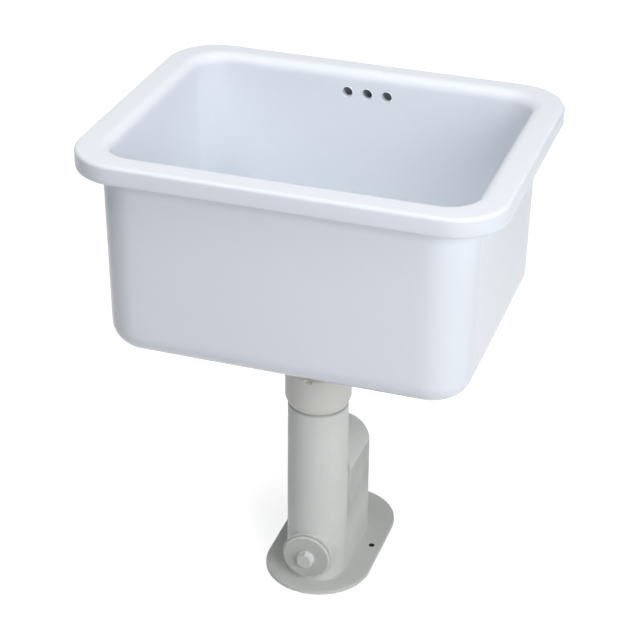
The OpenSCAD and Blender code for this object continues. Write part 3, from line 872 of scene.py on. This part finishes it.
def cut_thread(bm, radius, low, high, depth):
    """Sinks a right-hand thread into a round face; a negative depth sinks it outwards, into a bore."""
    for v in bm.verts:
        if abs(math.hypot(v.co.x, v.co.y) - radius) > 0.01 or not low < v.co.z < high:
            continue
        turn = math.atan2(v.co.y, v.co.x) / (2 * math.pi)
        wave = 0.5 - 0.5 * math.cos(2 * math.pi * (v.co.z / PITCH - turn))
        runout = min((v.co.z - low) / PITCH, (high - v.co.z) / PITCH, 1)
        share = 1 - depth * wave * runout / radius
        v.co.x *= share
        v.co.y *= share


def hexagon_reach(angle, flats, edge_r):
    """How far a hexagon with rounded edges reaches; one of its flats faces angle 0."""
    part = math.pi / 3
    off = (angle + part / 2) % part - part / 2
    inner = flats / 2 - edge_r
    if abs(off) <= math.atan2(inner * math.tan(part / 2), flats / 2):
        return flats / 2 / math.cos(off)
    off = part / 2 - abs(off)
    centre = inner / math.cos(part / 2)
    return centre * math.cos(off) + math.sqrt(edge_r ** 2 - (centre * math.sin(off)) ** 2)


def flatten(bm, flats, edge_r, low, high, turned_by=0.0):
    """Draws a turned form in to the six flats of a nut between two heights."""
    for v in bm.verts:
        if not low <= v.co.z <= high:
            continue
        angle = math.atan2(v.co.y, v.co.x) - turned_by
        share = hexagon_reach(angle, flats, edge_r) / max(math.hypot(v.co.x, v.co.y), 0.001)
        if share < 1:
            v.co.x *= share
            v.co.y *= share


def make_waste():
    """Flanged outlet with a threaded tail, and four windows where the overflow comes in."""
    z = heights("waste_body")[1] - WASTE_LEN
    bm = spun([(25.5, z + 0.5), (26, z), (29.2, z)] + rungs(WASTE_R, z + 1, z + 54.5) + [
        (30, z + 56.5), (44.6, z + 56.5), (45, z + 56.9), (45, z + 59.5), (44.7, z + 60.5),
        (44, z + 61.1), (43, z + 61.4), (42, z + WASTE_LEN), (41.5, z + 61.2), (41.3, z + 58.6),
        (41, z + 58.5), (34, z + 58.5), (31, z + 57.6), (28, z + 56.5), (26.4, z + 53),
        (25.5, z + 49.5),
    ])
    cut_thread(bm, WASTE_R, z + 1, z + 54.5, 1.2)
    waste = as_object(placed(bm, DRAIN_AXIS), "waste_flanged")
    window = (21.5, -9, z + 39.5), (33.5, 9, z + 46.5), 1.2
    carve(waste, [placed(block(*window), DRAIN_AXIS @ turn_of(i, 4)) for i in range(4)])
    dress(waste, 38, "stand", STEEL, "waste_body")


def make_grate():
    """Loose plate, a little dished, with rings of countersunk holes."""
    low, high = heights("strainer_grate")
    bm = spun([
        (0, high - 0.7), (12, high - 0.6), (24, high - 0.4), (36, high - 0.05), (38, high),
        (40.2, high), (40.75, high - 0.25), (41, high - 0.8), (41, low + 0.4), (40.6, low), (0, low),
    ])
    grate = as_object(placed(bm, DRAIN_AXIS), "grate_perforated")
    top, foot = high + 0.5, low - 0.5
    drills = bmesh.new()
    for radius, count in ((0, 1), (10.5, 6), (20.5, 12), (30.5, 18)):
        for i in range(count):
            drill = spun([(0, top), (4.1, top), (3.2, top - 2.0), (3.2, foot), (0, foot)], 24)
            place = DRAIN_AXIS @ turn_of(i, count) @ Matrix.Translation((radius, 0, 0))
            join(drills, placed(drill, place))
    carve(grate, [drills])
    dress(grate, 35, "grate", STEEL, "strainer_grate")


def make_locknut():
    """Hexagon nut whose corners are turned off at both faces."""
    low, high = heights("drain_locknut")
    chamfer = [(between(38.5, 45.0, i / 6), low + between(0.1, 3.2, i / 6)) for i in range(7)]
    upper = [(radius, low + high - z) for radius, z in reversed(chamfer)]
    inside = [(30.6, high)] + rungs(NUT_BORE_R, high - 0.6, low + 0.6) + [(30.6, low)]
    bm = spun([(37.8, low)] + chamfer + upper + [(37.8, high)] + inside, 144)
    flatten(bm, 78, 0.8, low, high, math.radians(30))
    cut_thread(bm, NUT_BORE_R, low + 0.6, high - 0.6, -1.0)
    nut = as_object(placed(bm, DRAIN_AXIS), "locknut_hexagon")
    dress(nut, 30, "locknut", BRASS, "drain_locknut")


def make_tailpiece():
    """Tube with a flange near its foot and a threaded socket at its head."""
    low, high = heights("tailpiece")
    flange, socket = low + 14, high - 14
    bm = spun([
        (25, low + 0.4), (25.4, low), (28.4, low), (28.8, low + 0.5), (28.8, flange), (33, flange),
        (33.4, flange + 0.4), (33.4, flange + 3.6), (33, flange + 4), (29.4, flange + 4),
        (29, flange + 4.4), (29, socket - 0.8), (29.6, socket), (34.5, socket), (35.5, socket + 0.5),
        (36, socket + 1.5), (36, high - 1.5), (35.5, high - 0.5), (34.5, high), (30.7, high),
        *rungs(NUT_BORE_R, high - 0.6, socket + 2.5),
        (NUT_BORE_R, socket + 1.5), (25, socket + 1.5),
    ])
    cut_thread(bm, NUT_BORE_R, socket + 2.5, high - 0.6, -1.0)
    tail = as_object(placed(bm, DRAIN_AXIS), "tailpiece_turned")
    dress(tail, 38, "stand", BRASS, "tailpiece")


def make_union_nut():
    """Round nut with a turned-in foot and four spanner notches in its top edge."""
    low, high = heights("union_nut")
    thread_z, lip_z = low + 23.4, low + 43.9
    bm = spun([
        (34.6, low + 0.4), (35, low), (37.9, low), (38.1, low + 0.2), (38.1, low + 0.8),
        (38.4, low + 1.1), (38.7, low + 1.6), (39.4, low + 2.9), (40.6, low + 5.7), (41.5, low + 7.9),
        (41.9, low + 9.1), (42, low + 10.4), (42, between(low, high, 0.4)), (42, between(low, high, 0.7)),
        *arc(39.5, high - 2.5, 2.5, 0, 90, 6),
        (29.6, high), (29.1, high - 0.5), (29.1, lip_z), (UNION_BORE_R, lip_z),
        *rungs(UNION_BORE_R, lip_z - 0.4, thread_z),
        (34.6, thread_z - 0.4),
    ], 144)
    cut_thread(bm, UNION_BORE_R, thread_z, lip_z - 0.4, -0.9)
    nut = as_object(placed(bm, DRAIN_AXIS), "union_nut_round")
    notch = (38, -5, high - 4), (46, 5, high + 6), 1.0
    carve(nut, [placed(block(*notch), DRAIN_AXIS @ turn_of(i, 4)) for i in range(4)])
    dress(nut, 32, "union", NUT_PAINT, "union_nut")


def make_plug():
    """Clean-out plug: a hollow screwed spigot, a round face with a turned edge, a cast hexagon."""
    hexagon = [(between(9.1, 10.97, i / 4), between(13.45, 12.2, i / 4)) for i in range(5)]
    bm = spun([
        (0, 13.5), (4.5, 13.5), (8.4, 13.5), *hexagon,
        *((10.97, z) for z in (10.5, 9, 7.5, 6, 5)), (11.5, 3.9),
        *((radius, 3.5) for radius in (12.4, 15, 18, 21, 24, 27, 29)),
        (30, 3.45), (30.7, 3.1), (31.15, 2.5), (31.3, 1.8), (31.3, 0.4), (30.9, 0), (20.5, 0),
        (SPIGOT_R, -0.5), *rungs(SPIGOT_R, -1.5, -13.2), (19, -SPIGOT_LEN), (15.4, -SPIGOT_LEN),
        (15, -SPIGOT_LEN + 0.4), (15, -2.6), (14.4, -2), (0, -2),
    ], 144)
    flatten(bm, 19, 0.9, 4.9, 14)
    bm.normal_update()
    for v in bm.verts:
        if v.co.z > 3:
            v.co -= v.normal * (0.12 + 0.12 * noise.noise(v.co / 7))
    cut_thread(bm, SPIGOT_R, -13.2, -1.5, 1.1)
    plug = as_object(placed(bm, PLUG_AXIS), "cleanout_plug_cast")
    lay_rub_and_highlight(plug)
    dress(plug, 34, "cleanout", PLUG_PAINT_SHADED, "cleanout_plug")


def lay_rub_and_highlight(plug):
    """Writes where the plug is lighter, by rubbed paint and a painted highlight: the hexagon's sides and
    top, and the face's edge.
    """
    # Rubbed paint and painted highlight where light catches the hexagon and the face's turned edge
    layer = plug.data.attributes.new("rub_and_highlight", "FLOAT", "POINT")
    axis = PLUG_AXIS.inverted()
    values = []
    for v in plug.data.vertices:
        p = axis @ (v.co / MM)
        radius = math.hypot(p.x, p.y)
        side = 1.0 if 4.6 < p.z < 13 and 9 < radius < 12 else 0.0
        edge = 0.7 if 29.8 < radius and p.z > 1.5 else 0.0
        top = 0.35 if radius < 9.2 and p.z > 13 else 0.0
        values.append(max(side, edge, top) * (0.8 + 0.4 * noise.noise(p / 5)))
    layer.data.foreach_set("value", values)


def ring_section(outer, inner, low, high, soft):
    """The outline of a flat ring whose four edges are rounded."""
    edges = ((outer - soft, low + soft, -90), (outer - soft, high - soft, 0),
             (inner + soft, high - soft, 90), (inner + soft, low + soft, 180))
    return [row for radius, z, start in edges for row in arc(radius, z, soft, start, start + 90, 3)]


def make_rings():
    """Seals and washers, each a ring with rounded edges between its node's own faces."""
    rings = (
        ("waste_seal", "stand", RUBBER, DRAIN_AXIS, 45, 34, 0.7),
        ("drain_gasket", "stand", RUBBER, DRAIN_AXIS, 44, 30.3, 1.4),
        ("slip_washer", "locknut_travel", BRASS, DRAIN_AXIS, 44, 30.3, 0.3),
        ("socket_washer", "stand", RUBBER, DRAIN_AXIS, 29.8, 25.5, 0.5),
        ("thrust_ring", "union_travel", BRASS, DRAIN_AXIS, 33.4, 29.1, 0.3),
        ("union_washer", "stand", RUBBER, DRAIN_AXIS, 33.4, 30, 0.7),
        ("outlet_seal", "stand", RUBBER, OUTLET_AXIS, 42, 30, 0.7),
        ("cleanout_gasket", "cleanout_travel", RUBBER, PLUG_AXIS, 29.8, 20.3, 0.4),
    )
    for node, body, finish, axis, outer, inner, soft in rings:
        low, high = (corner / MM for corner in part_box(node))
        # The gasket of the clean-out lies behind the plug's face, on the plug's own axis
        low, high = (low.y - high.y, 0.0) if axis is PLUG_AXIS else (low.z, high.z)
        bm = spun(ring_section(outer, inner, low, high, soft))
        ring = as_object(placed(bm, axis), f"{node}_ring")
        dress(ring, 50, body, finish, node)


# ---- Trap ----

LEG_R = 38.8
DROP_R = 39.6
CROWN_CREASE_Z = 150.0
WEB_Z = 141.0
WEB_DEPTH = 4.6
FLANGE_TOP_Z = 6.0
FLANGE_R = 70.3
FLANGE_HALF = 52.5
PLUG_BOSS_R = 34.0
BOSS_FACE_Y = -56.6
SCREW_X = 57.0
SCREW_Y = DRAIN_Y + 62.5
SCREW_HOLE_R = 3.5
SCREW_CHAMFER_R = 3.9
CASTING_VOXEL = 2.05


def ease(share):
    """A share from 0 to 1 that starts and ends gently."""
    share = min(max(share, 0), 1)
    return share * share * (3 - 2 * share)


def web_depth(back, z):
    """How far the flank stands back from the leg's width, at a distance behind the leg's axis."""
    if z > CROWN_CREASE_Z:
        depth = min(z - CROWN_CREASE_Z, 22) * 0.16
    elif z > WEB_Z:
        depth = WEB_DEPTH * ease((CROWN_CREASE_Z - z) / (CROWN_CREASE_Z - WEB_Z))
    else:
        depth = WEB_DEPTH * ease((z - 8) / (WEB_Z - 30))
    return depth * (1 - ease((back - 85) / 30))


def crisp(u, v, reach, radius):
    """Draws a softened corner back to a small radius; u and v are a point's distances from its faces."""
    if max(u, v) >= reach or min(u, v) < -1.5:
        return u, v
    du, dv = reach - u, reach - v
    inner = reach - radius
    share = reach / max(du, dv)
    if reach - share * min(du, dv) < radius:
        square, total = du * du + dv * dv, du + dv
        root = (inner * total) ** 2 - square * (2 * inner ** 2 - radius ** 2)
        share = (inner * total + math.sqrt(max(root, 0))) / square
    weight = ease((reach - max(u, v)) / (0.4 * reach))
    return between(u, reach - share * du, weight), between(v, reach - share * dv, weight)


def from_foot(x, y):
    """Distance of a point of the plan outside the casting's upright walls, and the way out."""
    back = y - DRAIN_Y
    axis = Vector((0, min(max(back, 0), DROP_BACK)))
    radius = between(LEG_R, DROP_R, axis.y / DROP_BACK)
    away = Vector((x, back)) - axis
    return away.length - radius, away.normalized()


def from_flange_edge(x, y):
    """Distance of a point of the plan inside the flange's edge, and the way in."""
    back = y - SCREW_Y
    axis = Vector((0, min(max(back, -FLANGE_HALF), FLANGE_HALF)))
    away = Vector((x, back)) - axis
    return FLANGE_R - away.length, -away.normalized()


def sharpen_corners(bm):
    """Draws in the foot, the flange's edges and the boss's edge, which the skin left too soft."""
    for v in bm.verts:
        x, y, z = v.co
        out, way = from_foot(x, y)
        if z > 4 and out > -1.5 and not (z > 11.5 and y < DRAIN_Y - 30):
            new_out, height = crisp(out, z - FLANGE_TOP_Z, 7.5, 2.2)
            step = way * (new_out - out)
            v.co = Vector((x + step.x, y + step.y, FLANGE_TOP_Z + height))
        inside, way = from_flange_edge(x, y)
        if inside < 3 and z < 8:
            if z > FLANGE_TOP_Z / 2:
                new_in, height = crisp(inside, FLANGE_TOP_Z - z, 3, 1.4)
                height = FLANGE_TOP_Z - height
            else:
                new_in, height = crisp(inside, z, 3, 0.8)
            step = way * (new_in - inside)
            v.co = Vector((x + step.x, y + step.y, height))
        radius = math.hypot(v.co.x, v.co.z - PLUG_Z)
        if v.co.y < DRAIN_Y - 24 and v.co.z > 11 and radius > 20:
            depth, behind = crisp(PLUG_BOSS_R - radius, v.co.y - BOSS_FACE_Y, 8, 1.3)
            share = (PLUG_BOSS_R - depth) / radius
            v.co = Vector((v.co.x * share, BOSS_FACE_Y + behind, between(PLUG_Z, v.co.z, share)))


def seam_painted_shade(v):
    """How much painted shade darkens the paint at a point: in the gap under the nut, in the crevice along
    the leg's seam, on the tucked-in flank.
    """
    back = v.y - DRAIN_Y
    half = abs(v.x)
    patch = 0.9 + 0.25 * noise.noise(v / 22)
    under_nut = ease((v.z - 258.5) / 1.5)
    clear_of_leg = math.hypot(half, back) - LEG_R
    line = ease((clear_of_leg + 0.1) / 0.7) * (1 - ease((clear_of_leg - 1.5) / 3.5))
    line *= ease((v.z - 128) / 10) if back > 4 and v.z < 196 else 0
    tucked = ease(clear_of_leg / 1.5) * ease((149 - v.z) / 5) * ease((v.z - 45) / 50)
    tucked *= ease((half - 26) / 7) if back > 4 else 0
    return max(0.5 * under_nut, 0.40 * line, 0.31 * tucked) * patch


def lay_painted_shade(trap):
    """Writes the painted shade: where the paint is darkened as shade, and the screw holes' walls painted
    dark as the shade inside them.
    """
    layer = trap.data.attributes.new("painted_shade", "FLOAT", "CORNER")
    values = [0.0] * len(trap.data.loops)
    for polygon in trap.data.polygons:
        c = polygon.center / MM
        off_screw = math.hypot(abs(c.x) - SCREW_X, c.y - SCREW_Y)
        hole = 0 < c.z < FLANGE_TOP_Z and off_screw < SCREW_CHAMFER_R + 0.05
        for corner in polygon.loop_indices:
            v = trap.data.vertices[trap.data.loops[corner].vertex_index].co / MM
            # Painted shade: the screw holes' walls fully dark, elsewhere as much as shade falls there
            values[corner] = 1.0 if hole else seam_painted_shade(v)
    layer.data.foreach_set("value", values)


def at_screws(outline, steps):
    """A turned form at each of the flange's two screw holes."""
    places = [Matrix.Translation((side * SCREW_X, SCREW_Y, 0)) for side in (-1, 1)]
    return [placed(spun(outline, steps), place) for place in places]


def is_at_foot(edge):
    """Whether an edge lies where the flange meets the upright walls."""
    return all(4 < v.co.z < 13 and -2 < from_foot(v.co.x, v.co.y)[0] < 7.5 for v in edge.verts)


def tuck_flank(bm):
    """Sets the flank back from the leg's width, and leaves the leg itself round."""
    for v in bm.verts:
        back = v.co.y - DRAIN_Y
        half = abs(v.co.x)
        if half > 31.5 and 8 < v.co.z < 186 and 2 < back < 112:
            leg = math.sqrt(max(LEG_R ** 2 - back ** 2, 0))
            narrowed = max(half - web_depth(back, v.co.z), min(leg, half))
            v.co.x *= narrowed / half


def make_trap():
    """The casting: one skin over the CAD form, softened at its corners as sand and paint leave it."""
    bm = measured(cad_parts["trap_body"].data)
    bmesh.ops.remove_doubles(bm, verts=bm.verts, dist=0.002)
    # The screw holes are filled under the skin, and drilled after it
    for fill in at_screws([(0, 0.3), (5.5, 0.3), (5.5, 5.7), (0, 5.7)], 32):
        join(bm, fill)
    trap = as_object(bm, "trap_casting")
    remesh = trap.modifiers.new("skin", "REMESH")
    remesh.mode = "VOXEL"
    remesh.voxel_size = CASTING_VOXEL * MM
    relax = trap.modifiers.new("relax", "SMOOTH")
    relax.factor = 0.5
    relax.iterations = 5
    settle(trap)
    bm = measured(trap.data)
    foot = [edge for edge in bm.edges if is_at_foot(edge)]
    bmesh.ops.subdivide_edges(bm, edges=foot, cuts=1, use_grid_fill=True)
    sharpen_corners(bm)
    bm.normal_update()
    tuck_flank(bm)
    # A sand casting's skin is a little uneven
    for v in bm.verts:
        if v.co.z > 0.5:
            wave = 0.6 * noise.noise(v.co / 28) + 0.4 * noise.noise(v.co / 7)
            v.co -= v.normal * 0.16 * (1 + max(min(wave, 1), -1))
    bmesh.ops.scale(bm, vec=(MM, MM, MM), verts=bm.verts)
    bm.to_mesh(trap.data)
    bm.free()
    drill = [(0, -2), (SCREW_HOLE_R, -2), (SCREW_HOLE_R, 5.2), (SCREW_CHAMFER_R, 5.9),
             (SCREW_CHAMFER_R, 9), (0, 9)]
    mouth = spun([(0, -2), (20.5, -2), (20.5, -0.5), (20, 0), (20, 30), (0, 30)], 72)
    inwards = PLUG_AXIS @ Matrix.Rotation(math.radians(180), 4, "X")
    carve(trap, at_screws(drill, 40) + [placed(mouth, inwards)])
    lay_painted_shade(trap)
    dress(trap, 44, "stand", IRON_PAINT, "trap_body")


# ---- The scene ----

bpy.context.scene.view_settings.view_transform = "Standard"
aim_camera()
light_room()
lay_floor()
softbox("top", 0, 89, 2.2, 0.5, (2.0, 1.6), 29, (1.0, 0.99, 0.97))
softbox("left_high", -40, 58, 2.6, 0.5, (1.2, 1.0), 13, (1.0, 0.99, 0.98))
softbox("left_low", -65, 6, 2.6, 0.3, (1.2, 0.6), 3.5, (0.93, 0.98, 1.08))
softbox("front_right", 39, 30, 2.6, 0.4, (0.8, 1.1), 20.5, (0.98, 0.995, 1.05))
softbox("right_low", 56, 13, 2.6, 0.35, (1.2, 1.2), 16, (0.98, 1.0, 1.0))
softbox("right", 75, 20, 2.6, 0.35, (1.2, 1.4), 6, (0.98, 1.0, 1.0))
softbox("back", 190, 4, 2.6, 0.12, (1.8, 0.4), 5, (1.0, 1.0, 1.0))

NODE_FINISH = {
    "basin": CHINA, "trap_body": IRON_PAINT, "cleanout_plug": PLUG_PAINT_SHADED, "union_nut": NUT_PAINT,
    "waste_body": STEEL, "strainer_grate": STEEL, "slip_washer": BRASS, "drain_locknut": BRASS,
    "tailpiece": BRASS, "thrust_ring": BRASS, "waste_seal": RUBBER, "drain_gasket": RUBBER,
    "socket_washer": RUBBER, "union_washer": RUBBER, "outlet_seal": RUBBER,
    "cleanout_gasket": RUBBER,
}
for node_name, node_finish in NODE_FINISH.items():
    node_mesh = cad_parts[node_name].data
    node_mesh.materials.clear()
    node_mesh.materials.append(node_finish[0])

make_basin()
make_trap()
make_union_nut()
make_plug()
make_waste()
make_grate()
make_locknut()
make_tailpiece()
make_rings()
